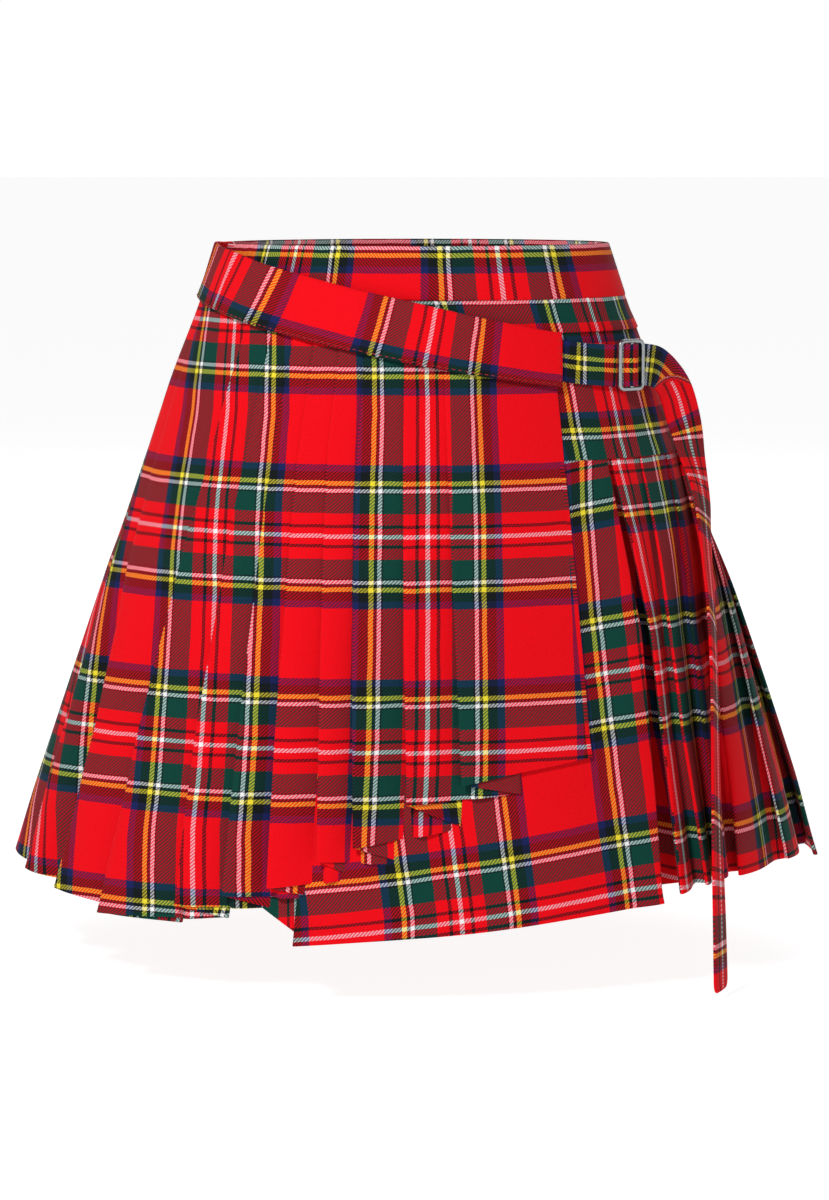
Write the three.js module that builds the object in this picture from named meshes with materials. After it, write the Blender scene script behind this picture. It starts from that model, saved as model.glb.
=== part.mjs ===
// A pleated tartan wrap skirt, filled out as if worn: a level waistband, a hip yoke, a flat under
// apron, knife pleats all the way round, and a pleated over panel whose sloping band ends in a
// strap with a slide buckle.
// Millimetres, +Z up. The origin is the middle of the waist at half the height of the waistband.
// The front faces -Y. Angles run round the waist in degrees: 0 is the centre front, 90 the
// wearer's left side (+X), 180 the centre back and 270 (or -90) the wearer's right side.

import * as THREE from 'three';

// The body the skirt hangs round: an ellipse at every height that widens evenly downwards.
const WAIST_HALF_WIDTH = 122.5;
const WAIST_HALF_DEPTH = 86;
const WIDTH_FLARE = 0.332;
const DEPTH_FLARE = 0.273;

// Cloth walls and the spaces that keep pieces apart.
const CLOTH = 1.1;
const BAND_CLOTH = 2.2;
const SEAM = 0.3;
const SEAM_DEG = 0.2;
const PANEL_TOP_GAP = 0.5;

// Pleats: each pleat is a face, an underlay and the hidden end of the next face, so five layers
// lie on each other at a fold. PLY is the distance from layer to layer.
const PLY_AT_YOKE = 1.55;
const PLY_AT_HEM = 2.0;
const PLY_HEM_SWING = 0.35;
const PLY_TIGHTEST_DEG = -15;
const STACK_BASE = 0.55;
const LAYER_FACE_FOLD = 4;
const LAYER_UNDERLAY_FOLD = 3;
const LAYERS_LOST_PER_PLEAT = 2;
const STEPS_PER_PLEAT = 2;

// Heights.
const BELT_HALF_HEIGHT = 16;
const YOKE_BOTTOM = -110;
const HEM = -358;
const PLEAT_ROWS = 5;
const PANEL_ROWS = 6;
const YOKE_ROWS = 3;
const BAND_ROWS = 1;
const HEM_STEP = 1;

// Where the level pieces start and stop round the waist.
const LEFT_SEAM_DEG = 95;
const BELT_INNER_END_DEG = -75;
const BAND_SEAM_DEG = 255;
const YOKE_INNER_END_DEG = -42;
const SIDE_FOLD_DEG = 268;

// Fold rows, from the wearer's left front round the back to the front edge of the over panel.
// Columns: the angle at five heights, then the height of the hem at the outer fold and at the
// inner fold behind it.
const FOLD_LEVELS = [-40, YOKE_BOTTOM, -210, -270, HEM];
const LEFT_FRONT_FOLDS = [
  { at: [46.9, 45.6, 43.8, 41.0, 38.6], outHem: -360, inHem: -357 },
  { at: [56.2, 56.2, 49.8, 46.6, 44.0], outHem: -357, inHem: -355 },
  { at: [69.1, 69.1, 56.6, 52.0, 47.3], outHem: -355, inHem: -354 },
  { at: [80.0, 79.5, 64.0, 57.5, 51.2], outHem: -355, inHem: -354 },
  { at: [91.0, 90.0, 76.0, 70.6, 65.5], outHem: -353, inHem: -355 },
  { at: [101.0, 100.0, 91.0, 87.0, 82.0], outHem: -361, inHem: -358 },
  { at: [110.0, 109.0, 103.0, 99.5, 96.0], outHem: -358, inHem: -359 },
];
const BACK_FOLD_COUNT = 20;
const BACK_HEM = { outHem: -358, inHem: -360 };
const RIGHT_FRONT_FOLDS = [
  { at: [268.0, 268.0, 270.5, 272.0, 274.0], outHem: -360, inHem: -362 },
  { at: [277.0, 277.5, 283.5, 285.5, 287.5], outHem: -363, inHem: -366 },
  { at: [285.8, 287.5, 296.0, 299.0, 300.2], outHem: -367, inHem: -370 },
  { at: [312.0, 311.8, 311.0, 311.0, 312.0], outHem: -375, inHem: -374 },
  { at: [321.5, 322.0, 322.8, 323.4, 325.7], outHem: -365, inHem: -369 },
  { at: [328.5, 329.0, 330.5, 331.5, 333.0], outHem: -357, inHem: -361 },
  { at: [334.5, 335.0, 337.0, 338.0, 339.6], outHem: -351, inHem: -353 },
  { at: [341.2, 341.7, 344.0, 345.2, 346.7], outHem: -335, inHem: -340 },
  { at: [347.8, 348.0, 349.5, 350.5, 351.8], outHem: -327, inHem: -332 },
  { at: [357.4, 357.7, 358.2, 358.7, 359.1], outHem: -303, inHem: -314 },
  { at: [366.8, 366.8, 366.9, 367.0, 367.0], outHem: -292, inHem: -298 },
];
// The flat end of the over panel: a plain place under its last face, then its free front edge.
const PANEL_END_ROWS = [
  { at: [376.5, 376.2, 375.9, 375.7, 375.5], outHem: -282, inHem: -282 },
  { at: [396.0, 392.8, 389.2, 387.5, 387.0], outHem: -270, inHem: -270 },
];

// The under apron: its free left edge and the pressed fold at its right, at the same heights.
const APRON_LEFT = { at: [-24, -22, -19.5, -18, -16.5], hem: -384 };
const APRON_FOLD = { at: [45, 44.1, 42.8, 39.5, 35.9], hem: -365 };
const APRON_TURN = 22;
const APRON_STEPS = 12;
const GAP_PLIES_DOWN = 2.25;
const INNER_LAYER = -0.9;
const SIDE_LAYER = STACK_BASE + 2 * PLY_AT_YOKE;
const PANEL_EDGE = PANEL_END_ROWS[1];
const LIFT_START_DEG = 1.5;

// The sloping band of the over panel. Columns: angle, height of its middle line, its height, and
// how far its middle stands off the body.
const OVER_BAND_ROWS = [
  { deg: -105, middle: 0, height: 32, out: 0 },
  { deg: -98, middle: 0, height: 32, out: 2.2 },
  { deg: -92, middle: 0, height: 33, out: 4.2 },
  { deg: -80, middle: -0.5, height: 34, out: 6.3 },
  { deg: -60, middle: -6.5, height: 35.5, out: 6.3 },
  { deg: -31, middle: -19.5, height: 36, out: 6.3 },
  { deg: 1, middle: -35.4, height: 36, out: 6.3 },
  { deg: 8, middle: -38.9, height: 35.3, out: 6.3 },
  { deg: 16, middle: -42.8, height: 34.5, out: 4.9 },
  { deg: 26, middle: -47.2, height: 33.5, out: 4.0 },
  { deg: 36.5, middle: -51.2, height: 32.5, out: 3.9 },
];
const BAND_STEP_DEG = 5.5;

// Slide buckle: a flat frame with a middle bar, standing along the strap at the left hip.
const BUCKLE = { middle: [128.9, -62.3, -55.5], turnDeg: 40 };
const BUCKLE_WIDTH = 21;
const BUCKLE_HEIGHT = 31;
const BUCKLE_CORNER = 4;
const BUCKLE_INNER_CORNER = 1;
const BUCKLE_BAR_ROOT = 0.5;
const BUCKLE_BAR = 2.5;
const BUCKLE_THICKNESS = 2.4;

// Strap: a doubled strip of cloth. It starts behind the end of the band and runs along the body.
// Columns: angle, height, how far it stands off and how much of the body's slope it takes.
const STRAP_WIDTH = 25;
const STRAP_CLOTH = 1.6;
const STRAP_DIP = 2.7;
const STRAP_BAR_CLEAR = 0.6;
const STRAP_START = [
  { deg: 32.5, z: -49.6, out: 1.2, lean: 1 },
  { deg: 37.2, z: -51.4, out: 1.6, lean: 1 },
  { deg: 41.5, z: -53.2, out: 3.7, lean: 0.95 },
  { deg: 46.5, z: -54.4, out: 6.1, lean: 0.75 },
];
// The strap beyond the buckle. Columns: its middle and the way its upper edge faces.
const STRAP_TAIL = [
  { at: [144.4, -44.5, -57.4], edge: [0, 0, 1] },
  { at: [151.0, -37.5, -62.0], edge: [0.16, 0.12, 1] },
  { at: [157.5, -31.0, -68.4], edge: [0.36, 0.30, 0.85] },
  { at: [162.7, -27.0, -76.6], edge: [0.55, 0.50, 0.62] },
  { at: [165.7, -25.0, -86.5], edge: [0.64, 0.64, 0.38] },
  { at: [167.7, -25.0, -97.5], edge: [0.65, 0.74, 0.18] },
  { at: [169.7, -28.0, -110.7], edge: [0.57, 0.82, 0.06] },
  { at: [172.5, -34.0, -127.3], edge: [0.46, 0.89, 0] },
  { at: [174.6, -42.0, -142.2], edge: [0.37, 0.93, 0] },
  { at: [175.5, -50.0, -158.0], edge: [0.30, 0.95, 0] },
  { at: [176.4, -60.0, -176.0], edge: [0.24, 0.97, 0] },
  { at: [177.6, -73.6, -198.0], edge: [0.20, 0.98, 0] },
  { at: [178.2, -87.3, -220], edge: [0.20, 0.98, 0] },
  { at: [178.1, -104.7, -254], edge: [0.20, 0.98, 0] },
  { at: [177.8, -119.5, -288], edge: [0.22, 0.97, 0] },
  { at: [177.7, -135.5, -327], edge: [0.26, 0.96, 0] },
  { at: [177.9, -144.0, -350], edge: [0.30, 0.95, 0] },
  { at: [178.3, -149.0, -372], edge: [0.33, 0.94, 0] },
  { at: [178.9, -151.0, -395], edge: [0.35, 0.94, 0] },
  { at: [179.4, -151.6, -413], edge: [0.36, 0.93, 0] },
];
const STRAP_TIP = { at: [179.5, -151.7, -417], edge: [0.36, 0.93, 0] };
const STRAP_TIP_WIDTH = 17;

const RED_WOOL = new THREE.MeshStandardMaterial({ color: 0xd0101c, roughness: 0.9 });
const DARK_WOOL = new THREE.MeshStandardMaterial({ color: 0x8d1420, roughness: 0.9 });
const STEEL = new THREE.MeshStandardMaterial({ color: 0x9a9ca0, roughness: 0.35, metalness: 1 });

const group = new THREE.Group();

const mix = (from, to, share) => from + (to - from) * share;

function smooth(share) {
  const s = THREE.MathUtils.clamp(share, 0, 1);
  return s * s * (3 - 2 * s);
}

// Reads a table's column at a place between its rows.
function lookUp(places, values, place) {
  let i = 0;
  while (i < places.length - 2 && Math.abs(place - places[0]) > Math.abs(places[i + 1] - places[0])) {
    i += 1;
  }
  const share = THREE.MathUtils.clamp((place - places[i]) / (places[i + 1] - places[i]), 0, 1);
  return mix(values[i], values[i + 1], share);
}

const degAt = (row, z) => lookUp(FOLD_LEVELS, row.at, z);

// A point on the body's surface, moved out from it and along it.
function bodyPoint(deg, z, out, along = 0) {
  const halfWidth = WAIST_HALF_WIDTH - WIDTH_FLARE * z;
  const halfDepth = WAIST_HALF_DEPTH - DEPTH_FLARE * z;
  const sin = Math.sin(THREE.MathUtils.degToRad(deg));
  const cos = Math.cos(THREE.MathUtils.degToRad(deg));
  const outward = new THREE.Vector3(halfDepth * sin, -halfWidth * cos, 0).normalize();
  const sideways = new THREE.Vector3(halfWidth * cos, halfDepth * sin, 0).normalize();
  return new THREE.Vector3(halfWidth * sin, -halfDepth * cos, z)
    .addScaledVector(outward, out)
    .addScaledVector(sideways, along);
}

// Turns a length along the surface into degrees.
function lengthInDegrees(length, deg, z) {
  const oneDegree = bodyPoint(deg + 0.5, z, 0).distanceTo(bodyPoint(deg - 0.5, z, 0));
  return length / oneDegree;
}

// A closed cloth wall over a grid of columns and rows. place(column, row, side) gives a point on
// the outer face (side 1) or the inner face (side -1); columns run with rising angles and rows
// run down.
function clothWall(columnCount, rowCount, place) {
  const points = [];
  for (const side of [1, -1]) {
    for (let i = 0; i < columnCount; i += 1) {
      for (let j = 0; j < rowCount; j += 1) {
        points.push(...place(i, j, side).toArray());
      }
    }
  }
  const at = (i, j, side) => (side === 1 ? 0 : columnCount * rowCount) + i * rowCount + j;
  const faces = [];
  const quad = (a, b, c, d) => faces.push(a, b, c, a, c, d);
  for (let i = 0; i < columnCount - 1; i += 1) {
    for (let j = 0; j < rowCount - 1; j += 1) {
      quad(at(i, j, 1), at(i, j + 1, 1), at(i + 1, j + 1, 1), at(i + 1, j, 1));
      quad(at(i, j, -1), at(i + 1, j, -1), at(i + 1, j + 1, -1), at(i, j + 1, -1));
    }
  }
  const last = rowCount - 1;
  const end = columnCount - 1;
  for (let i = 0; i < end; i += 1) {
    quad(at(i, 0, 1), at(i + 1, 0, 1), at(i + 1, 0, -1), at(i, 0, -1));
    quad(at(i, last, 1), at(i, last, -1), at(i + 1, last, -1), at(i + 1, last, 1));
  }
  for (let j = 0; j < last; j += 1) {
    quad(at(0, j, 1), at(0, j, -1), at(0, j + 1, -1), at(0, j + 1, 1));
    quad(at(end, j, 1), at(end, j + 1, 1), at(end, j + 1, -1), at(end, j, -1));
  }
  const geometry = new THREE.BufferGeometry();
  geometry.setAttribute('position', new THREE.Float32BufferAttribute(points, 3));
  geometry.setIndex(faces);
  geometry.computeVertexNormals();
  return geometry;
}

function addPiece(name, geometry, material) {
  const mesh = new THREE.Mesh(geometry, material);
  mesh.name = name;
  group.add(mesh);
}

// The fold rows of the back, spread evenly between the last left fold and the first right one.
function backFolds() {
  const first = LEFT_FRONT_FOLDS.at(-1).at;
  const last = RIGHT_FRONT_FOLDS[0].at;
  const rows = [];
  for (let k = 1; k <= BACK_FOLD_COUNT; k += 1) {
    const share = k / (BACK_FOLD_COUNT + 1);
    rows.push({ at: first.map((deg, level) => mix(deg, last[level], share)), ...BACK_HEM });
  }
  return rows;
}

const FOLDS = [...LEFT_FRONT_FOLDS, ...backFolds(), ...RIGHT_FRONT_FOLDS, ...PANEL_END_ROWS];
const FIRST_BACK_FOLD = LEFT_FRONT_FOLDS.length - 1;
const MIDDLE_BACK_FOLD = FIRST_BACK_FOLD + BACK_FOLD_COUNT / 2;
const SIDE_FOLD = LEFT_FRONT_FOLDS.length + BACK_FOLD_COUNT;
const LAST_PANEL_FOLD = FOLDS.length - PANEL_END_ROWS.length - 1;

// The angle at a place in the list of folds, where a half is midway to the next fold.
function foldPlaceDeg(place, z) {
  const i = Math.min(Math.floor(place), FOLDS.length - 2);
  return mix(degAt(FOLDS[i], z), degAt(FOLDS[i + 1], z), place - i);
}

// Layer to layer distance: even at the yoke, and looser towards the hem, most at the back.
function ply(deg, z) {
  const swing = Math.cos(THREE.MathUtils.degToRad(deg - PLY_TIGHTEST_DEG));
  const atHem = PLY_AT_HEM - PLY_HEM_SWING * swing;
  const down = THREE.MathUtils.clamp((YOKE_BOTTOM - z) / (YOKE_BOTTOM - HEM), 0, 1.1);
  return mix(PLY_AT_YOKE, atHem, down);
}

// Columns of cloth from the outer fold i to the inner fold behind fold i + 1. turn marks a
// column on a fold, where the wall goes round the end of the layer below or above it.
function faceColumns(i) {
  const columns = [];
  const steps = 2 * STEPS_PER_PLEAT;
  for (let k = 0; k <= steps; k += 1) {
    const share = k / steps;
    columns.push({
      place: i + 2 * share,
      layer: mix(LAYER_FACE_FOLD, 0, share),
      side: 1,
      turn: k === 0 || k === steps,
      hem: mix(FOLDS[i].outHem, FOLDS[i + 1].inHem, share),
    });
  }
  return columns;
}

// Columns of the underlay of fold i, from its inner fold back to its outer fold.
function underlayColumns(i) {
  const columns = [];
  for (let k = 0; k <= STEPS_PER_PLEAT; k += 1) {
    const share = k / STEPS_PER_PLEAT;
    columns.push({
      place: i + 1 - share,
      layer: mix(LAYER_UNDERLAY_FOLD - LAYERS_LOST_PER_PLEAT, LAYER_UNDERLAY_FOLD, share),
      side: -1,
      turn: k === 0 || k === STEPS_PER_PLEAT,
      hem: mix(FOLDS[i].inHem, FOLDS[i].outHem, share),
    });
  }
  return columns;
}

function pleatChain(firstFold, lastFold) {
  const columns = [];
  for (let i = firstFold; i < lastFold; i += 1) {
    columns.push(...faceColumns(i), ...underlayColumns(i + 1));
  }
  return columns;
}

// Builds the wall of a row of pleat columns hanging from topAt(deg).
function pleatWall(columns, rowCount, topAt) {
  return clothWall(columns.length, rowCount + 1, (i, j, side) => {
    const column = columns[i];
    const top = topAt(column.degAt ? column.degAt(YOKE_BOTTOM) : foldPlaceDeg(column.place, topAt.level));
    const z = mix(top, column.hem, j / rowCount);
    const deg = column.degAt ? column.degAt(z) : foldPlaceDeg(column.place, z);
    const middle = column.outAt ? column.outAt(deg, z) : STACK_BASE + column.layer * ply(deg, z);
    const out = middle + side * column.side * CLOTH / 2;
    const along = column.turn ? -side * CLOTH / 2 : 0;
    return bodyPoint(deg, z, out, along);
  });
}

// The sloping band's rows, read by angle.
const OVER_BAND_DEGS = OVER_BAND_ROWS.map((row) => row.deg);
const overBand = (column, deg) => lookUp(OVER_BAND_DEGS, OVER_BAND_ROWS.map((row) => row[column]), deg);

function overPanelTop(deg) {
  const front = deg > 180 ? deg - 360 : deg;
  return overBand('middle', front) - overBand('height', front) / 2 - PANEL_TOP_GAP;
}
overPanelTop.level = FOLD_LEVELS[0];

const yokeSeam = () => YOKE_BOTTOM - SEAM;
yokeSeam.level = YOKE_BOTTOM;

// How far the apron and yoke stand off the body: tucked in under the over panel, and out level
// with the middle of the pleats to the right of its free edge.
function innerOut(deg, z) {
  const edge = degAt(PANEL_EDGE, z) - 360 + LIFT_START_DEG;
  const fold = degAt(APRON_FOLD, z);
  const lift = smooth((deg - edge) / (fold - edge));
  const atBelt = THREE.MathUtils.clamp((-BELT_HALF_HEIGHT - z) / (-BELT_HALF_HEIGHT - YOKE_BOTTOM), 0, 1);
  return mix(INNER_LAYER, mix(0, SIDE_LAYER, atBelt), lift);
}

// A level strip of cloth between two angles.
function ringWall(fromDeg, toDeg, rowCount, cloth, topAt, bottomAt, outAt) {
  const columnCount = Math.ceil((toDeg - fromDeg) / BAND_STEP_DEG) + 1;
  return clothWall(columnCount, rowCount + 1, (i, j, side) => {
    const deg = mix(fromDeg, toDeg, i / (columnCount - 1));
    const z = mix(topAt(deg), bottomAt(deg), j / rowCount);
    return bodyPoint(deg, z, outAt(deg, z) + side * cloth / 2);
  });
}

function addWaistbands() {
  const top = () => BELT_HALF_HEIGHT;
  const bottom = () => -BELT_HALF_HEIGHT;
  const out = () => 0;
  const seam = LEFT_SEAM_DEG;
  const frontEnd = seam - SEAM_DEG;
  const backEnd = BAND_SEAM_DEG - SEAM_DEG;
  const front = ringWall(BELT_INNER_END_DEG, frontEnd, BAND_ROWS, BAND_CLOTH, top, bottom, out);
  const back = ringWall(seam, backEnd, BAND_ROWS, BAND_CLOTH, top, bottom, out);
  addPiece('waistband_front', front, DARK_WOOL);
  addPiece('waistband_back', back, DARK_WOOL);
}

function addYokes() {
  const top = () => -BELT_HALF_HEIGHT - SEAM;
  const bottom = () => YOKE_BOTTOM;
  const seam = LEFT_SEAM_DEG;
  const front = ringWall(YOKE_INNER_END_DEG, seam - SEAM_DEG, YOKE_ROWS, CLOTH, top, bottom, innerOut);
  const backEnd = SIDE_FOLD_DEG - 2 * SEAM_DEG;
  const back = ringWall(seam, backEnd, YOKE_ROWS, CLOTH, top, bottom, innerOut);
  addPiece('hip_yoke_front', front, RED_WOOL);
  addPiece('hip_yoke_back', back, RED_WOOL);
}

// The flat apron under the over panel, with its right edge turned back under itself.
function addUnderApron() {
  const columns = [];
  for (let k = 0; k <= APRON_STEPS; k += 1) {
    const share = k / APRON_STEPS;
    columns.push({
      degAt: (z) => mix(degAt(APRON_LEFT, z), degAt(APRON_FOLD, z), share),
      outAt: innerOut,
      side: 1,
      turn: false,
      foldEnd: k === APRON_STEPS,
      hem: mix(APRON_LEFT.hem, APRON_FOLD.hem, share),
    });
  }
  for (const share of [0, 0.5, 1]) {
    columns.push({
      degAt: (z) => turnedBackDeg(z, share),
      outAt: (deg, z) => innerOut(deg, z) - PLY_AT_YOKE,
      side: -1,
      turn: false,
      foldEnd: share === 0,
      hem: APRON_FOLD.hem + HEM_STEP,
    });
  }
  const wall = clothWall(columns.length, PLEAT_ROWS + 1, (i, j, side) => {
    const column = columns[i];
    const z = mix(YOKE_BOTTOM - SEAM, column.hem, j / PLEAT_ROWS);
    const deg = column.degAt(z);
    const out = column.outAt(deg, z) + side * column.side * CLOTH / 2;
    const along = column.foldEnd ? side * CLOTH / 2 : 0;
    return bodyPoint(deg, z, out, along);
  });
  addPiece('under_apron', wall, RED_WOOL);
}

// A place on the cloth turned back behind the apron's fold; share 1 is the end of the turn.
function turnedBackDeg(z, share) {
  const fold = degAt(APRON_FOLD, z);
  return fold - lengthInDegrees(APRON_TURN * share, fold, z);
}

// The pleats between the apron and the left side seam. Their first cloth starts behind the
// apron's turned edge and shows in the gap beside it.
function addLeftPleats() {
  const gap = [1, 0.5, 0].map((share) => ({
    degAt: (z) => turnedBackDeg(z, share),
    outAt: (deg, z) => innerOut(deg, z) - GAP_PLIES_DOWN * PLY_AT_YOKE,
    side: 1,
    turn: false,
    hem: FOLDS[0].inHem - HEM_STEP,
  }));
  const underFirst = faceColumns(0)
    .slice(STEPS_PER_PLEAT)
    .map((column) => ({ ...column, place: column.place - 1, layer: 0, hem: FOLDS[0].inHem }));
  const columns = [...gap, ...underFirst, ...underlayColumns(0), ...pleatChain(0, FIRST_BACK_FOLD)];
  addPiece('left_front_pleats', pleatWall(columns, PLEAT_ROWS, yokeSeam), RED_WOOL);
}

function addBackPleats() {
  const left = pleatChain(FIRST_BACK_FOLD, MIDDLE_BACK_FOLD);
  const right = pleatChain(MIDDLE_BACK_FOLD, SIDE_FOLD);
  addPiece('back_pleats_left', pleatWall(left, PLEAT_ROWS, yokeSeam), RED_WOOL);
  addPiece('back_pleats_right', pleatWall(right, PLEAT_ROWS, yokeSeam), RED_WOOL);
}

function addOverPanel() {
  const flatEnd = faceColumns(LAST_PANEL_FOLD);
  flatEnd.at(-1).turn = false;
  const steps = flatEnd.length - 1;
  flatEnd.forEach((column, k) => {
    column.hem = mix(FOLDS[LAST_PANEL_FOLD].outHem, PANEL_EDGE.outHem, k / steps);
  });
  const columns = [...pleatChain(SIDE_FOLD, LAST_PANEL_FOLD), ...flatEnd];
  addPiece('over_panel', pleatWall(columns, PANEL_ROWS, overPanelTop), RED_WOOL);
}

function addOverBand() {
  const top = (deg) => overBand('middle', deg) + overBand('height', deg) / 2;
  const bottom = (deg) => overBand('middle', deg) - overBand('height', deg) / 2;
  const out = (deg) => overBand('out', deg);
  const start = BAND_SEAM_DEG - 360;
  const end = OVER_BAND_DEGS.at(-1);
  const wall = ringWall(start, end, BAND_ROWS, BAND_CLOTH, top, bottom, out);
  addPiece('over_band', wall, DARK_WOOL);
}

// The buckle's own axes: along the strap, and out from the body.
const buckleAlong = new THREE.Vector3(1, 0, 0).applyAxisAngle(
  new THREE.Vector3(0, 0, 1),
  THREE.MathUtils.degToRad(BUCKLE.turnDeg),
);
const buckleOut = new THREE.Vector3(buckleAlong.y, -buckleAlong.x, 0);
const buckleMiddle = new THREE.Vector3(...BUCKLE.middle);

const onBuckle = (along, out) =>
  buckleMiddle.clone().addScaledVector(buckleAlong, along).addScaledVector(buckleOut, out);

// A rectangle's corners with each corner cut off: cutLeft at the left pair, cutRight at the right.
function cutCornerOutline(left, right, halfHeight, cutLeft, cutRight) {
  return [
    [left + cutLeft, -halfHeight],
    [right - cutRight, -halfHeight],
    [right, -halfHeight + cutRight],
    [right, halfHeight - cutRight],
    [right - cutRight, halfHeight],
    [left + cutLeft, halfHeight],
    [left, halfHeight - cutLeft],
    [left, -halfHeight + cutLeft],
  ].map(([x, y]) => new THREE.Vector2(x, y));
}

function addBuckle() {
  const halfWidth = BUCKLE_WIDTH / 2;
  const halfHeight = BUCKLE_HEIGHT / 2;
  const near = BUCKLE_BAR / 2;
  const far = halfWidth - BUCKLE_BAR;
  const reach = halfHeight - BUCKLE_BAR;
  const outline = new THREE.Shape(
    cutCornerOutline(-halfWidth, halfWidth, halfHeight, BUCKLE_CORNER, BUCKLE_CORNER),
  );
  outline.holes.push(
    new THREE.Path(cutCornerOutline(-far, -near, reach, BUCKLE_INNER_CORNER, BUCKLE_BAR_ROOT)),
    new THREE.Path(cutCornerOutline(near, far, reach, BUCKLE_BAR_ROOT, BUCKLE_INNER_CORNER)),
  );
  const geometry = new THREE.ExtrudeGeometry(outline, { depth: BUCKLE_THICKNESS, bevelEnabled: false });
  geometry.translate(0, 0, -BUCKLE_THICKNESS / 2);
  const up = new THREE.Vector3(0, 0, 1);
  geometry.applyMatrix4(new THREE.Matrix4().makeBasis(buckleAlong, up, buckleOut));
  geometry.translate(...BUCKLE.middle);
  addPiece('slide_buckle', geometry, STEEL);
}

// The strap goes under the first bar, over the middle bar and under the last one.
function strapThroughBuckle() {
  const sideBar = (BUCKLE_WIDTH - BUCKLE_BAR) / 2;
  const clear = BUCKLE_BAR / 2 + STRAP_BAR_CLEAR;
  const places = [
    [-sideBar - clear, -STRAP_DIP],
    [-sideBar + clear, -STRAP_DIP],
    [-clear, STRAP_DIP],
    [clear, STRAP_DIP],
    [sideBar - clear, -STRAP_DIP],
    [sideBar + clear, -STRAP_DIP],
  ];
  return places.map(([along, out]) => ({ at: onBuckle(along, out).toArray(), edge: [0, 0, 1] }));
}

function strapAlongBody() {
  return STRAP_START.map((row) => {
    const upSlope = bodyPoint(row.deg, row.z + 1, 0).sub(bodyPoint(row.deg, row.z, 0));
    return {
      at: bodyPoint(row.deg, row.z, row.out).toArray(),
      edge: [upSlope.x * row.lean, upSlope.y * row.lean, 1],
    };
  });
}

function addStrap() {
  const rows = [...strapAlongBody(), ...strapThroughBuckle(), ...STRAP_TAIL, STRAP_TIP];
  const middles = rows.map((row) => new THREE.Vector3(...row.at));
  const wall = clothWall(rows.length, 2, (i, j, side) => {
    const before = middles[Math.max(i - 1, 0)];
    const after = middles[Math.min(i + 1, rows.length - 1)];
    const along = after.clone().sub(before).normalize();
    const edge = new THREE.Vector3(...rows[i].edge);
    edge.addScaledVector(along, -edge.dot(along)).normalize();
    const outward = along.clone().cross(edge);
    const width = i === rows.length - 1 ? STRAP_TIP_WIDTH : STRAP_WIDTH;
    return middles[i]
      .clone()
      .addScaledVector(edge, (j === 0 ? 1 : -1) * width / 2)
      .addScaledVector(outward, side * STRAP_CLOTH / 2);
  });
  addPiece('strap', wall, RED_WOOL);
}

addWaistbands();
addYokes();
addUnderApron();
addLeftPleats();
addBackPleats();
addOverPanel();
addOverBand();
addStrap();
addBuckle();

export default group;
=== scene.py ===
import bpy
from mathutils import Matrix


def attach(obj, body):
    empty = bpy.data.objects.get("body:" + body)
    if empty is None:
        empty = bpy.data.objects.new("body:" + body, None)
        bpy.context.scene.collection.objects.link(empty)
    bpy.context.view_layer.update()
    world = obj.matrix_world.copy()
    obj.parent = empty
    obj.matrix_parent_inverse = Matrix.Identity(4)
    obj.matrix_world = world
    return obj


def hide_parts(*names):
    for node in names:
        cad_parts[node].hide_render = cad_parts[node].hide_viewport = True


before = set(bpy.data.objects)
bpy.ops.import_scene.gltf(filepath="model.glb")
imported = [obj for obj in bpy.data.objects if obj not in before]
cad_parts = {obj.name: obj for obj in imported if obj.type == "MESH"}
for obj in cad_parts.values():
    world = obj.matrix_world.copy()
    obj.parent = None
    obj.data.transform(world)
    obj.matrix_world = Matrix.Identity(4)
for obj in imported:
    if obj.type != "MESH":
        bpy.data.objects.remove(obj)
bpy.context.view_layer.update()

import bpy
import numpy as np


# --- Waistband ------------------------------------------------------------------------------
# A level band of doubled tartan twill, stiffened inside, cut with a white and a yellow stripe
# just under its top fold. Its front part ends under the wrap; a seam at the wearer's left side
# joins it to the back part.

WAIST_HALF = (122.5, 86.0)        # mm, half width and half depth of the body at the waist
FLARE = (0.332, 0.273)            # how much each widens for each mm down
BELT_HALF_HEIGHT = 16.0
BAND_THICK = 2.2                  # mm, of doubled cloth
BELT_RED_MIDDLE = -20.4           # mm, height of the middle of the red field
TWILL_STEP = 2.0                  # mm; real ribs are 1 mm apart, drawn coarser so that they show

# Half of the tartan's repeat: each stripe's colour and width in mm, from the middle of the red
# field to the middle of the white pivot line. Both ways of the cloth have the same stripes.
HALF_REPEAT = [
    ("red", 19.8), ("blue", 4.2), ("black", 5.1), ("yellow", 2.6), ("black", 1.9), ("white", 2.3),
    ("black", 0.8), ("green", 11.0), ("red", 6.4), ("black", 2.0), ("red", 3.6), ("white", 1.3),
]
HALF_SETT = sum(width for _, width in HALF_REPEAT)
YARN_HEX = {
    "red": "D6000E", "blue": "131C4E", "black": "0B1112", "yellow": "D8C62E",
    "white": "DADADA", "green": "03382F",
}


def linear(hex_colour):
    """An sRGB hex colour as linear red, green, blue and alpha."""
    srgb = np.array([int(hex_colour[k:k + 2], 16) / 255 for k in (0, 2, 4)])
    rgb = np.where(srgb <= 0.04045, srgb / 12.92, ((srgb + 0.055) / 1.055) ** 2.4)
    return (*rgb.tolist(), 1.0)


def add(tree, kind, inputs=(), **settings):
    """Adds a shader node, makes its settings, and gives its inputs values or links. A node given
    to an input stands for its first output."""
    made = tree.nodes.new("ShaderNode" + kind)
    for name, value in settings.items():
        setattr(made, name, value)
    for name, value in dict(inputs).items():
        if isinstance(value, bpy.types.Node):
            value = value.outputs[0]
        if isinstance(value, bpy.types.NodeSocket):
            tree.links.new(value, made.inputs[name])
        else:
            made.inputs[name].default_value = value
    return made


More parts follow.
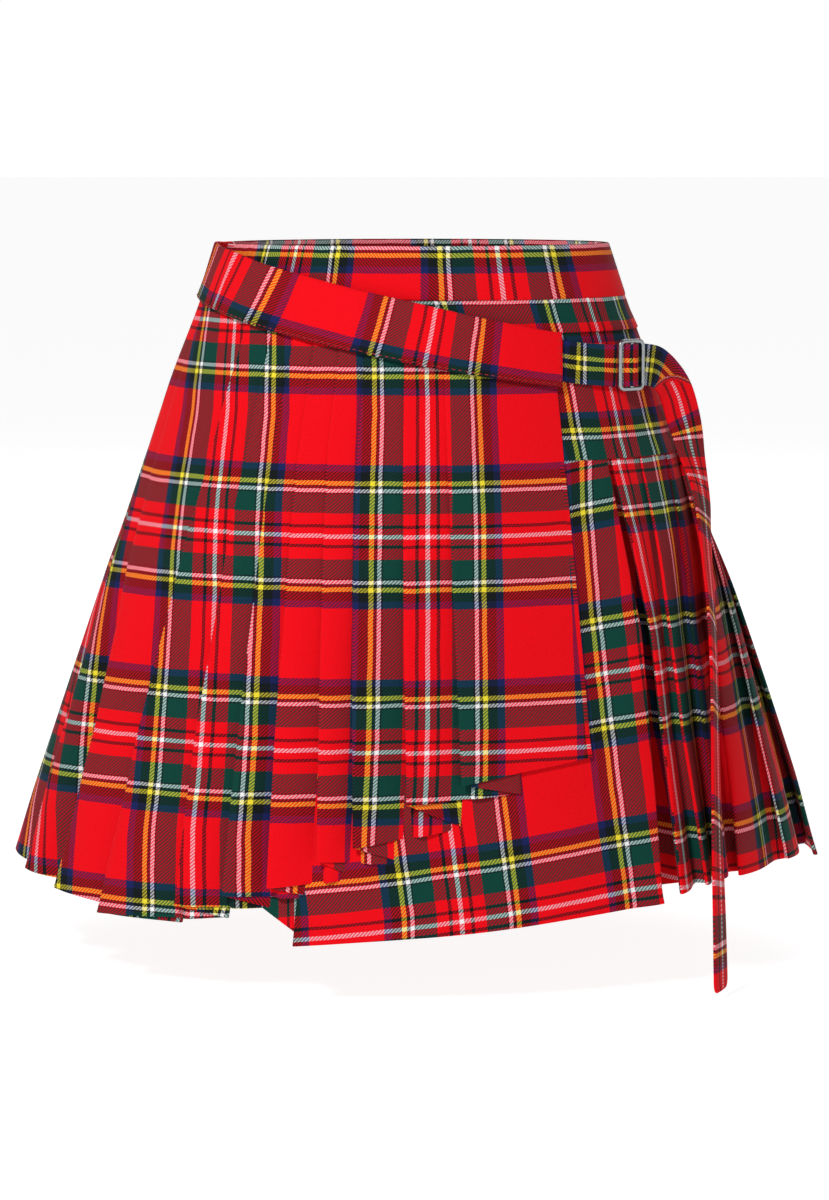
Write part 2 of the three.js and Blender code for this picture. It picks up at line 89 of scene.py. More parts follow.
def new_surface(name):
    """A new material and its node tree, emptied."""
    surface = bpy.data.materials.new(name)
    surface.use_nodes = True
    surface.node_tree.nodes.clear()
    return surface, surface.node_tree


def shade(tree, inputs):
    """The shader of a surface, with its inputs, joined to the output."""
    add(tree, "OutputMaterial", {"Surface": add(tree, "BsdfPrincipled", inputs)})


def stripes(tree, place):
    """The colours of one way's yarns. place is in metres across the stripes. It is folded back
    and forth over half a repeat and read from a ramp of flat colours."""
    folded = add(tree, "Math", {0: place, 1: HALF_SETT / 1000}, operation="PINGPONG")
    share = add(tree, "Math", {0: folded, 1: HALF_SETT / 1000}, operation="DIVIDE")
    ramp = add(tree, "ValToRGB", {0: share})
    ramp.color_ramp.interpolation = "CONSTANT"
    stops = ramp.color_ramp.elements
    start = 0.0
    for k, (colour, width) in enumerate(HALF_REPEAT):
        stop = stops[k] if k < 2 else stops.new(start / HALF_SETT)
        stop.position = start / HALF_SETT
        stop.color = linear(YARN_HEX[colour])
        start += width
    return ramp


def tartan_twill():
    """Worsted tartan twill: dyed yarns woven two over two, so a crossing of two stripes shows
    both colours in fine diagonal ribs. Matt, with a faint nap that lightens at a low angle."""
    surface, tree = new_surface("Worsted tartan twill")
    cloth_map = add(tree, "UVMap", uv_map="Cloth")
    place = add(tree, "SeparateXYZ", {0: cloth_map})
    # The yarns aren't dead straight: they wander by under half a millimetre.
    wander = add(tree, "TexNoise", {"Vector": cloth_map, "Scale": 60.0, "Detail": 1.0})
    shift = add(tree, "Math", {0: wander, 1: 0.0009, 2: -0.00045}, operation="MULTIPLY_ADD")
    across = add(tree, "Math", {0: place, 1: shift}, operation="ADD")
    down = add(tree, "Math", {0: place.outputs[1], 1: shift}, operation="ADD")
    # The warp covers a rib's crest and the weft its hollow.
    diagonal = add(tree, "Math", {0: across, 1: down}, operation="ADD")
    rib = add(tree, "Math", {0: diagonal, 1: TWILL_STEP / 2000}, operation="PINGPONG")
    cover = add(tree, "MapRange", {
        "Value": rib, "From Min": TWILL_STEP * 0.00012, "From Max": TWILL_STEP * 0.00038,
        "To Min": 0.26, "To Max": 0.74})
    # The two colours are blended by lightness as the eye sees it, not by the light's own measure.
    seen = [add(tree, "Gamma", {0: stripes(tree, way), 1: 1 / 2.2}) for way in (across, down)]
    both = add(tree, "Mix", {0: cover, 6: seen[1], 7: seen[0]}, data_type="RGBA")
    dyed = add(tree, "Gamma", {0: both.outputs[2], 1: 2.2})
    # Uneven dye and loose fibres, a third of a millimetre to two millimetres across.
    fuzz = add(tree, "TexNoise", {"Vector": cloth_map, "Scale": 900.0, "Detail": 3.0})
    tone = add(tree, "MapRange", {"Value": fuzz, "To Min": 0.86, "To Max": 1.12})
    toned = add(tree, "VectorMath", {0: dyed, "Scale": tone}, operation="SCALE")
    height = add(tree, "Math", {0: cover, 1: fuzz}, operation="ADD")
    shade(tree, {
        "Base Color": toned, "Roughness": 0.88, "Specular IOR Level": 0.12,
        "Sheen Weight": 0.02, "Sheen Roughness": 0.5,
        "Normal": add(tree, "Bump", {"Strength": 0.3, "Distance": 0.0003, "Height": height})})
    return surface


TARTAN = tartan_twill()


def unit(ways):
    """Directions brought to a length of one."""
    return ways / np.linalg.norm(ways, axis=-1, keepdims=True)


def run_along(points):
    """The length run from the first point of a line to each, or of each line down a grid."""
    return np.linalg.norm(np.diff(points, axis=0, prepend=points[:1]), axis=-1).cumsum(0)


def body(deg, z, out, along=0.0):
    """Points of the body: an ellipse that widens evenly downwards, moved out square to its
    outline by out and round it by along. Angles in degrees, 0 at the front and 90 at the
    wearer's left, and the rest in mm."""
    deg, z, out, along = np.broadcast_arrays(np.radians(deg), z, out, along)
    half_width = WAIST_HALF[0] - FLARE[0] * z
    half_depth = WAIST_HALF[1] - FLARE[1] * z
    sin, cos = np.sin(deg), np.cos(deg)
    outward = unit(np.stack([half_depth * sin, -half_width * cos], -1))
    sideways = np.stack([-outward[..., 1], outward[..., 0]], -1)
    level = np.stack([half_width * sin, -half_depth * cos], -1)
    level = level + outward * out[..., None] + sideways * along[..., None]
    return np.concatenate([level, z[..., None]], -1)


ARC_DEGS = np.arange(-180.0, 541.0, 1.0)
ARC_LEVELS = (0.0, -400.0)
ARC_TABLE = [run_along(body(ARC_DEGS, level, 0.0)) for level in ARC_LEVELS]


def arc(deg, z):
    """The length in mm along the body's outline, from a table at two heights, evenly between."""
    top, low = (np.interp(deg, ARC_DEGS, table) for table in ARC_TABLE)
    return top + (low - top) * z / ARC_LEVELS[1]


def edged(start, end, count, edge=0.5):
    """Steps from start to end with close ones at both ends, so that an edge can be rounded."""
    close = np.array([0.0, 0.3, 1.0]) * edge * np.sign(end - start)
    even = np.linspace(start, end, count)[1:-1]
    return np.concatenate([start + close, even, (end - close)[::-1]])


def thin_edges(count):
    """The share of the thickness at steps made by edged: whole in the middle, less at the edges."""
    share = np.ones(count)
    share[:2] = (0.35, 0.8)
    share[-2:] = (0.8, 0.35)
    return share


def new_object(name, data):
    """An object with the data, put in the scene."""
    made = bpy.data.objects.new(name, data)
    bpy.context.scene.collection.objects.link(made)
    return made


def new_piece(name, points, faces, material, smooth=True):
    """A mesh from points in mm and faces, as an object that rides on the skirt's one body."""
    mesh = bpy.data.meshes.new(name)
    mesh.from_pydata((points.reshape(-1, 3) / 1000).tolist(), [], faces)
    mesh.polygons.foreach_set("use_smooth", np.full(len(faces), smooth))
    mesh.materials.append(material)
    piece = new_object(name, mesh)
    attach(piece, "root")
    return piece


def cloth(name, middle, warp, weft, thick, warp_after=None, thin_ends=False):
    """A closed cloth wall round a grid of points in mm, columns by rows by 3. A point goes half
    the thickness both ways along the grid's normal, the cross product of the way down and the way
    round. warp and weft are places on the cloth in mm. warp_after is the place that the cloth
    after a column starts with, where hidden cloth is left out at a crease. thin_ends rounds the
    first and last columns too."""
    columns, rows = middle.shape[:2]
    normal = np.cross(np.gradient(middle, axis=1), np.gradient(middle, axis=0))
    normal /= np.linalg.norm(normal, axis=-1, keepdims=True) + 1e-9
    thick = thick * thin_edges(rows)[None, :]
    if thin_ends:
        thick = thick * thin_edges(columns)[:, None]
    half = thick[..., None] / 2 * normal
    # Each corner is (side, column, row). One in its face's near column reads the map as the start
    # of the strip after that column, and one in the far column as the end of the strip before.
    near, far, first, last = np.s_[:-1], np.s_[1:], np.s_[:1], np.s_[-1:]
    whole = np.arange(columns)[:, None] * rows + np.arange(rows)
    sheet = columns * rows
    corner, starts = [], []
    for corners in (
            [(0, near, near), (0, near, far), (0, far, far), (0, far, near)],
            [(1, near, near), (1, far, near), (1, far, far), (1, near, far)],
            [(0, near, first), (0, far, first), (1, far, first), (1, near, first)],
            [(0, near, last), (1, near, last), (1, far, last), (0, far, last)],
            [(0, first, near), (1, first, near), (1, first, far), (0, first, far)],
            [(0, last, near), (0, last, far), (1, last, far), (1, last, near)]):
        at = np.stack([side * sheet + whole[c, r].reshape(-1) for side, c, r in corners], -1)
        corner.append(at)
        starts.append(np.broadcast_to([c in (near, first) for _, c, _ in corners], at.shape))
    corner, starts = np.concatenate(corner), np.concatenate(starts).reshape(-1)
    warp_after = warp if warp_after is None else warp_after
    before, after, down = (
        np.broadcast_to(grid, (columns, rows)).reshape(-1)[corner.reshape(-1) % sheet]
        for grid in (warp, warp_after, weft))
    places = np.stack([np.where(starts, after, before), down], -1)
    piece = new_piece(name, np.stack([middle + half, middle - half]), corner.tolist(), TARTAN)
    cloth_map = piece.data.uv_layers.new(name="Cloth")
    cloth_map.data.foreach_set("uv", (places / 1000).reshape(-1))
    return piece


def ruffle(deg, z, rows):
    """Soft troughs and ridges that the cloth has taken. A row gives a line's two ends (angle,
    height), its half width and its depth in mm. Across the line the depth falls off as a bell,
    and it fades to nothing over the outer quarters of the line's length."""
    out = np.zeros(np.broadcast(deg, z).shape)
    for deg_a, z_a, deg_b, z_b, half_width, depth in rows:
        x, a, b = arc(deg, z), arc(deg_a, z_a), arc(deg_b, z_b)
        length = np.hypot(b - a, z_b - z_a)
        way = ((b - a) / length, (z_b - z_a) / length)
        along = ((x - a) * way[0] + (z - z_a) * way[1]) / length
        off = ((x - a) * way[1] - (z - z_a) * way[0]) / half_width
        fade = np.clip(np.minimum(along, 1 - along) * 4, 0, 1)
        out = out + depth * np.exp(-off ** 2) * fade * fade * (3 - 2 * fade)
    return out


# Where the pattern's landmarks fall round the waistband: place on the cloth in mm, and angle.
FRONT_BELT_MARKS = np.array([
    (-141.8, -68.0), (-87.0, -48.0), (-61.0, -37.0), (-35.0, -24.9), (-19.8, -17.7), (19.8, 1.0),
    (35.0, 9.1), (61.0, 23.8), (87.0, 40.2), (102.2, 50.9), (141.8, 83.5), (157.0, 94.8),
])
BACK_BELT_MARKS = np.array([(157.0, 94.8), (505.0, 255.0)])
BELT_RUFFLES = [
    (-30, 14, -24, -15, 5, -0.5), (12, 15, 20, -14, 6, 0.45), (46, 13, 42, -16, 5, -0.4),
    (70, 15, 76, -15, 6, 0.5), (120, 14, 126, -14, 6, -0.5), (158, 15, 152, -16, 7, 0.5),
    (196, 14, 203, -15, 6, -0.45), (238, 15, 232, -15, 6, 0.5),
]


def level_band(node, from_deg, to_deg, marks):
    """A level band: the body's outline over a span of angles, with slight ruffles."""
    deg = np.linspace(from_deg, to_deg, 100)[:, None]
    z = edged(BELT_HALF_HEIGHT, -BELT_HALF_HEIGHT, 10, 1.2)[None, :]
    middle = body(deg, z, ruffle(deg, z, BELT_RUFFLES))
    warp = np.interp(deg, marks[:, 1], marks[:, 0])
    piece = cloth(node + "_cloth", middle, warp, z - BELT_RED_MIDDLE, BAND_THICK)
    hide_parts(node)


level_band("waistband_front", -75.0, 94.8, FRONT_BELT_MARKS)
level_band("waistband_back", 95.2, 254.6, BACK_BELT_MARKS)


# --- Hip yoke -------------------------------------------------------------------------------
# Flat twill round the hips, sewn under the waistband, with the pleats sewn to its lower edge.
# A narrow strip is set on over its top by a plain seam, so the pattern starts afresh below it.

YOKE_BOTTOM = -110.0
STRIP_BOTTOM = -35.6              # mm, height of the seam
CLOTH = 0.8                       # mm, thickness of one layer
YOKE_EASE = 1.04                  # how much the pattern is drawn out round the hips
YOKE_LAP = (0.9, 12.0)            # mm, how far a lower edge flares out, and over what height
BELOW_TOP = YOKE_BOTTOM + 2.0     # mm, how high the cloth below goes up behind the yoke
YOKE_FRONT = (-42.0, 94.8)
YOKE_BACK = (95.2, 267.4)
SIDE_LAYER = 3.65                 # mm that the yoke stands off the body beside the wrap
PANEL_EDGE_DEGS = ((-40, 36.0), (-110, 33.1), (-210, 30.3), (-270, 29.1), (-358, 28.9))
APRON_FOLD_DEGS = ((-40, 45.0), (-110, 44.1), (-210, 42.8), (-270, 39.5), (-358, 35.9))


def at_height(rows, z):
    """Reads a value between rows of (height, value)."""
    heights, values = np.array(rows, float).T[:, ::-1]
    return np.interp(z, heights, values)


def smooth(share):
    """An even rise from 0 to 1 that starts and ends level."""
    s = np.clip(share, 0, 1)
    return s * s * (3 - 2 * s)


def inner_out(deg, z):
    """How far the apron and the yoke stand off the body: tucked in under the wrap, and out level
    with the middle of the pleats beyond the wrap's free edge."""
    edge = at_height(PANEL_EDGE_DEGS, z) + 1.5
    fold = at_height(APRON_FOLD_DEGS, z)
    lift = smooth((deg - edge) / (fold - edge))
    below_belt = np.clip((-BELT_HALF_HEIGHT - z) / 94.0, 0, 1)
    return -0.9 + (SIDE_LAYER * below_belt + 0.9) * lift


# The angle of the white pivot line of the cloth at each height, on the front and on the back.
FRONT_PIVOT = ((-13, 53.3), (-41, 53.3), (-117, 49.5))
BACK_PIVOT = ((-13, 178.0), (-117, 178.0))
# The main cloth and the strip: top, bottom, how far it stands out, and the cloth's place at its
# lower edge.
YOKE_PARTS = (
    ("_cloth", STRIP_BOTTOM + 4, YOKE_BOTTOM, 0.0, 47.8),
    ("_strip", -BELT_HALF_HEIGHT + 2.5, STRIP_BOTTOM, 0.2, 53.4),
)
YOKE_RUFFLES = [
    (58, -40, 66, -100, 7, -0.7), (74, -34, 72, -96, 6, 0.6), (88, -45, 84, -104, 7, -0.6),
    (52, -62, 46, -104, 6, 0.6), (118, -38, 124, -100, 8, -0.8), (146, -50, 140, -104, 7, 0.7),
    (176, -36, 182, -98, 8, -0.7), (204, -44, 198, -106, 7, 0.7), (232, -38, 238, -98, 8, -0.7),
    (256, -48, 252, -104, 7, 0.6),
]


def yoke_part(name, span, pivot, top, bottom, rise, weft_at_bottom):
    """A strip of the yoke. rise is how far it stands over the strip below; its lower edge flares
    out further, where it laps over what it is sewn to."""
    deg = np.linspace(*span, 110)[:, None]
    z = edged(top, bottom, 26, 0.6)[None, :]
    lap = YOKE_LAP[0] * smooth((bottom + YOKE_LAP[1] - z) / YOKE_LAP[1])
    middle = body(deg, z, inner_out(deg, z) + rise + lap + ruffle(deg, z, YOKE_RUFFLES))
    warp = HALF_SETT + (arc(deg, z) - arc(at_height(pivot, z), z)) / YOKE_EASE
    return cloth(name, middle, warp, weft_at_bottom + (bottom - z), CLOTH), middle


for node, span, pivot, belt in (
        ("hip_yoke_front", YOKE_FRONT, FRONT_PIVOT, "waistband_front_cloth"),
        ("hip_yoke_back", YOKE_BACK, BACK_PIVOT, "waistband_back_cloth")):
    for part, *sizes in YOKE_PARTS:
        piece, middle = yoke_part(node + part, span, pivot, *sizes)
        # The main cloth stands in for the yoke's own part, which is hidden; the strip is drawn as a
        # further piece.
        if part == "_cloth":
            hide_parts(node)


# --- Under apron ----------------------------------------------------------------------------
# The flat front of the skirt under the wrap, one layer of twill, sewn to the yoke. A tuck lies
# behind its left edge, and its right edge is pressed back under itself.

APRON_LEFT_DEGS = ((-40, -24.0), (-110, -22.0), (-210, -19.5), (-270, -18.0), (-358, -16.5))
APRON_HEMS = (-384.0, -365.0)     # mm, at the left edge and at the fold
APRON_TURN = 22.0                 # mm turned back behind the fold
TUCK_SPAN = (-42.0, 14.0)         # mm from the left edge, where the tuck starts and turns
TUCK_HEMS = (-352.0, -377.0, -380.0)      # mm, at its start, behind the edge and at its turn
APRON_PIVOT = ((-137, 0.5), (-365, 6.2))
APRON_RED_MIDDLE = -173.0         # mm, height of the middle of a red field at 40 degrees
APRON_SLANT = 0.4                 # mm that the pattern climbs for each degree
APRON_FOLD_RISE = 1.55            # mm between the apron and its turned-back edge
APRON_TUCK_RISE = 1.1             # mm between the layers of the tuck at its left edge
APRON_RUFFLES = [
    (22, -125, 15, -360, 13, 1.3), (33, -150, 27, -366, 10, -1.2), (8, -260, 2, -380, 9, -1.3),
    (-6, -280, -10, -384, 8, 1.2), (40, -190, 33, -340, 7, 0.8),
]


def turned_deg(z, share):
    """The angle of the cloth turned back behind the apron's fold; a share of 1 is its end."""
    fold = at_height(APRON_FOLD_DEGS, z)
    per_degree = arc(fold + 0.5, z) - arc(fold - 0.5, z)
    return fold - APRON_TURN * share / per_degree


def apron_strip(rows, edge_rows, offset, drop, along, hem):
    """Columns beside one of the apron's edge lines: offset is the distance round from the line,
    drop how far the cloth lies in behind the front, and along a further move round."""
    z = BELOW_TOP + (hem[:, None] - BELOW_TOP) * rows
    edge = at_height(edge_rows, z)
    deg = edge + offset[:, None] / (arc(edge + 0.5, z) - arc(edge - 0.5, z))
    out = inner_out(deg, z) + ruffle(deg, z, APRON_RUFFLES) - drop[:, None]
    return body(deg, z, out, along[:, None])


def in_line(*runs):
    """Columns one after another. A run gives each of its values as an array or as one number."""
    return np.concatenate([np.stack(np.broadcast_arrays(*run)) for run in runs], axis=1)


def under_apron():
    """Columns in order: a tuck that comes out behind the free left edge, in to the right, round,
    back to the edge and round it; then the front; then round the fold, and the turned-back edge."""
    rows = edged(0.0, 1.0, 60, 0.0015)[None, :]
    turn = np.radians([45.0, 90.0, 135.0])
    start, end = TUCK_SPAN
    half = APRON_TUCK_RISE / 2
    bend, side = half * np.cos(turn), half * np.sin(turn)
    offset, drop, along = in_line(
        (np.linspace(start, end, 16), 4 * half, 0), (end, 3 * half + bend, side),
        (np.linspace(end, 0.0, 6), 2 * half, 0), (0, half + bend, -side))
    hem = np.interp(offset, (start, 0.0, end), TUCK_HEMS)
    hem[-9:] = np.linspace(TUCK_HEMS[2], APRON_HEMS[0], 9)
    tuck = apron_strip(rows, APRON_LEFT_DEGS, offset, drop, along, hem)
    share = edged(0.0, 1.0, 80, 0.004)[:, None]
    hem = APRON_HEMS[0] + (APRON_HEMS[1] - APRON_HEMS[0]) * share
    hem = hem + 1.6 * np.sin(share * 9.0 + 0.5) * share * (1 - share)
    z = BELOW_TOP + (hem - BELOW_TOP) * rows
    left, fold = at_height(APRON_LEFT_DEGS, z), at_height(APRON_FOLD_DEGS, z)
    deg = left + (fold - left) * share
    front = body(deg, z, inner_out(deg, z) + ruffle(deg, z, APRON_RUFFLES))
    front_warp = HALF_SETT + (arc(deg, z) - arc(at_height(APRON_PIVOT, z), z)) / 1.1
    half = APRON_FOLD_RISE / 2
    offset, drop, along, hem = in_line(
        (0, half - half * np.cos(turn), half * np.sin(turn), APRON_HEMS[1]),
        (np.linspace(0.0, -APRON_TURN, 14), 2 * half, 0, APRON_HEMS[1] + 1))
    turned = apron_strip(rows, APRON_FOLD_DEGS, offset, drop, along, hem)
    middle = np.concatenate([tuck, front, turned])
    run = run_along(middle)
    first, last = len(tuck), len(tuck) + len(front) - 1
    warp = np.concatenate([
        front_warp[0] + run[:first] - run[first], front_warp,
        front_warp[-1] + run[last + 1:] - run[last]])
    angle = np.degrees(np.arctan2(middle[..., 0], -middle[..., 1]))
    weft = APRON_RED_MIDDLE - middle[..., 2] + APRON_SLANT * (angle - 40)
    piece = cloth("under_apron_cloth", middle, warp, weft, CLOTH)
    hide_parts("under_apron")


under_apron()


# --- Pleats ---------------------------------------------------------------------------------
# Knife pleats of the same twill, all facing one way, pressed and sewn to the yoke. Each face goes
# in behind the next two folds, turns, and comes back one fold as underlay, three layers in all.
# They're cut in three lengths of cloth, joined inside a pleat.

LEVELS = np.array([-40.0, -110.0, -210.0, -270.0, -358.0])
# Fold lines from the wearer's left front, round the back, to the right side. The angle at each
# of LEVELS, the height of the hem at the fold and at the inner fold behind it, and how far the
# cloth sinks in before the next fold, at the hem.
LEFT_FOLDS = [
    (46.9, 46.0, 44.8, 41.9, 39.0, -360, -357, 8.0), (56.2, 56.2, 49.8, 46.6, 44.0, -357, -355, 7.0),
    (69.1, 69.1, 56.6, 52.0, 47.3, -355, -354, 6.5), (80.0, 79.5, 64.0, 57.5, 51.2, -355, -354, 6.0),
    (91.0, 90.0, 76.0, 70.6, 65.5, -353, -355, 7.0), (101, 100, 91.0, 87.0, 82.0, -361, -358, 5.0),
    (110.0, 109.0, 103.0, 99.5, 96.0, -358, -359, 6.0),
]
BACK_FOLDS = 20
BACK_HEMS = (-358.0, -360.0)
BACK_SINKS = (5.4, 7.6, 4.6, 6.8, 5.0, 7.8, 4.8, 6.2, 7.0, 4.4)
RIGHT_FOLDS = [
    (268, 268, 270.5, 272, 274, -360, -362, 6.0), (277, 277.5, 283.5, 285.5, 287.5, -363, -366, 15.0),
    (285.8, 287.5, 296, 299, 300.2, -367, -370, 4.0), (312, 311.8, 311, 311, 312, -375, -376, 4.5),
    (321.5, 322, 322.8, 323.4, 325.7, -365, -371, 5.0), (328.5, 329, 330.5, 331.5, 333, -357, -364, 5.5),
    (334.5, 335, 337, 338, 339.6, -351, -357, 6.0), (341.2, 341.7, 344, 345.2, 346.7, -335, -345, 5.0),
    (347.8, 348, 349.5, 350.5, 351.8, -327, -337, 5.5),
    (357.4, 357.7, 358.2, 358.7, 359.1, -303, -317, 4.5), (366.8, 366.8, 366.9, 367, 367, -292, -298, 0),
    (376.5, 376.2, 375.9, 375.7, 375.5, -282, -282, 0), (396, 393, 389.9, 388.4, 388, -280, -280, 0),
]


def back_rows():
    """The fold lines of the back, evenly between the last on the left and the first on the right."""
    first, last = np.array(LEFT_FOLDS[-1]), np.array(RIGHT_FOLDS[0])
    share = (np.arange(1, BACK_FOLDS + 1) / (BACK_FOLDS + 1))[:, None]
    rows = first + (last - first) * share
    rows[:, 5:7] = BACK_HEMS
    rows[:, 7] = np.resize(BACK_SINKS, BACK_FOLDS)
    return rows


FOLDS = np.concatenate([LEFT_FOLDS, back_rows(), RIGHT_FOLDS])
FIRST_BACK = len(LEFT_FOLDS) - 1
SIDE_FOLD = len(LEFT_FOLDS) + BACK_FOLDS
LAST_PANEL = len(FOLDS) - 3
STACK_BASE = 0.55                 # mm from the body to the innermost layer
PLY_PRESSED, PLY_HANGING = 0.8, 1.5       # mm from layer to layer, at the seam and below it
PLY_OPEN = (0.5, 0.35)            # mm more at the hem: at the side, and how much less in front
SINK_HEIGHT = 248.0               # mm below the yoke, where the sinking is whole
PLEAT_ROWS = 58
PLEAT_RED_MIDDLE = -173.5         # mm, height of the middle of a red field
# The dark gap beside the apron, in mm: how far in its cloth starts, how much further it goes in
# and over what way down, and how much below the first inner fold it ends.
GAP_START, GAP_DEPTH, GAP_WAY, GAP_DROP = 3.5, 38, 200, 7.0
PLEAT_RUFFLES = [
    (96, -150, 88, -350, 26, 2.2), (122, -170, 128, -352, 22, -2.6), (150, -190, 146, -356, 20, 2.4),
    (176, -150, 182, -352, 24, -2.4), (204, -180, 200, -354, 22, 2.6), (230, -160, 236, -352, 22, -2.2),
    (256, -150, 252, -356, 24, 2.4),
]


def fold_deg(place, z):
    """The angle of a place in the list of folds at a height, evenly between folds and levels."""
    place, z = np.broadcast_arrays(place, z)
    i = np.clip(np.floor(place).astype(int), 0, len(FOLDS) - 2)
    step = np.clip(np.searchsorted(-LEVELS, -z, side="right") - 1, 0, len(LEVELS) - 2)
    share = np.clip((z - LEVELS[step]) / (LEVELS[step + 1] - LEVELS[step]), 0, 1)
    this, following = (
        FOLDS[k, step] + (FOLDS[k, step + 1] - FOLDS[k, step]) * share for k in (i, i + 1))
    return this + (following - this) * (place - i)


def layer_out(deg, layer, cell, within, carried, z, top, ruffles):
    """How far a layer stands off the body. The layers lie close at the top and open downwards,
    most at the back. From one fold to the next all layers sink in, more towards the hem, so that
    the next fold stands over a shadow. A face carries its sinking a little way in under it."""
    opened = smooth((top - z) / 60.0)
    loose = np.clip((YOKE_BOTTOM - z) / SINK_HEIGHT, 0, 1.1)
    swing = np.cos(np.radians(deg + 15.0))
    ply = PLY_PRESSED + (PLY_HANGING - PLY_PRESSED) * opened
    ply = ply + (PLY_OPEN[0] - PLY_OPEN[1] * swing) * loose
    cell = cell.astype(int)
    sunk = FOLDS[cell, 7] * smooth(within) ** 1.4 + FOLDS[np.maximum(cell - 1, 0), 7] * carried
    depth = sunk * smooth(loose ** 0.7)
    return STACK_BASE + layer * ply - depth + ruffle(deg, z, ruffles), ply


FACE_PLACES = np.concatenate([
    np.linspace(0.0, 0.9, 12), (0.95, 1.0, 1.04, 1.1, 1.18, 1.28), np.linspace(1.4, 1.85, 4),
    (1.93, 2.0)])
UNDER_PLACES = np.array([0.0, 0.06, 0.15, 0.3, 0.45, 0.6, 0.75, 0.88, 0.96, 1.0])
TURN = np.radians([50.0, 90.0, 130.0])


def face_columns(i, start_hem, end_hem, places=FACE_PLACES):
    """The face of fold i, over two places, falling four layers."""
    second = places > 1
    carried = np.where(second, 1 - smooth((places - 1) / 0.25), 0)
    hems = start_hem + (end_hem - start_hem) * places / 2
    return in_line((i + places, 4 - 2 * places, 0, hems, i, i + second, places - second, carried))


def underlay_columns(i):
    """What hangs behind fold i: the inner fold round a half circle, the underlay back over one
    place, rising two layers, and the outer fold round a half circle."""
    outer_hem, inner_hem = FOLDS[i, 5:7]
    back, half = UNDER_PLACES, 0.5 * np.cos(TURN)
    hems = inner_hem + (outer_hem - inner_hem) * back
    return in_line(
        (i + 1, 0.5 - half, np.sin(TURN), inner_hem, i - 0.5, i, 1, 0),
        (i + 1 - back, 1 + 2 * back, 0, hems, i - 0.5, i, 1 - back, 0),
        (i, 3.5 - half, -np.sin(TURN), outer_hem, i, i, 0, 0))


def pleat_columns(first, last):
    """The columns of the pleats from one fold to another, in order along the cloth. Each has its
    place in the list of folds, its layer, its way round a fold as the sine of the turn, its hem's
    height, its strip (whole for an outer fold and its face, a half for an inner fold and its
    underlay), and for its sinking the cell, how far within it, and what is carried."""
    columns = []
    for i in range(first, last):
        columns += [face_columns(i, FOLDS[i, 5], FOLDS[i + 1, 6]), underlay_columns(i + 1)]
    return np.concatenate(columns, axis=1)


def pleat_points(columns, rows, top_at, ruffles):
    """The middle of the cloth for columns from pleat_columns, hanging from top_at(angle)."""
    place, layer, turn, hem, _, cell, within, carried = (x[:, None] for x in columns)
    top = top_at(fold_deg(place, YOKE_BOTTOM))
    z = top + (hem - top) * rows
    deg = fold_deg(place, z)
    out, ply = layer_out(deg, layer, cell, within, carried, z, top, ruffles)
    return body(deg, z, out, turn * ply / 2), deg, z


def pleat_warp(columns, middle, mapped, matched):
    """The place on the cloth, from its place mapped at each column. Matched pleats keep to the map
    over all that shows, and others at their outer fold. The rest runs on at its true length, in
    under the next fold and out again, and each outer fold starts afresh."""
    place, strip = columns[0], columns[4]
    fold = np.floor(strip)
    run = run_along(middle[..., :2])
    shown = (strip == fold) & (place <= fold + matched)
    held = np.array([np.flatnonzero(shown & (fold == one))[-1] for one in fold])
    warp = mapped[held] + run - run[held]
    if matched:
        warp = np.where(shown[:, None], mapped, warp)
    after = warp.copy()
    last = np.flatnonzero(np.diff(strip) * (strip[:-1] != fold[:-1]) > 0.2)
    after[last] = warp[last + 1] + run[last] - run[last + 1]
    return warp, after


GRAIN_LEVEL = -206.0
LEFT_PIVOT = ((-101, 50.5), (-206, 46.2), (-355, 41.0))
LEFT_SPREAD = ((-101, 1.03), (-206, 0.84), (-355, 0.84))


def left_place(deg, z):
    """The pattern's place on the left front and back: the pivot line's angle and the spread."""
    return HALF_SETT + (arc(deg, z) - arc(at_height(LEFT_PIVOT, z), z)) / at_height(LEFT_SPREAD, z)


def under_yoke(deg):
    """The pleats' top edge, just under the yoke's lower edge."""
    return BELOW_TOP + 0 * deg


def pleats(name, columns, lead=None):
    """One length of pleated cloth. lead is cloth before the first column: its points and map."""
    rows = edged(0.0, 1.0, PLEAT_ROWS, 0.0015)[None, :]
    middle, _, z = pleat_points(columns, rows, under_yoke, PLEAT_RUFFLES)
    # Each pleat lies on the straight grain, so its place at one height holds all the way down.
    grain = left_place(fold_deg(np.floor(columns[4])[:, None], GRAIN_LEVEL), GRAIN_LEVEL)
    warp, after = pleat_warp(columns, middle, grain + 0 * z, matched=0)
    if lead is not None:
        lead_middle, lead_warp = lead(rows)
        middle = np.concatenate([lead_middle, middle])
        lead_after = lead_warp.copy()
        lead_after[-1] = warp[0]
        warp, after = np.concatenate([lead_warp, warp]), np.concatenate([lead_after, after])
    weft = PLEAT_RED_MIDDLE - middle[..., 2]
    piece = cloth(name + "_cloth", middle, warp, weft, CLOTH, warp_after=after)
    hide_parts(name)


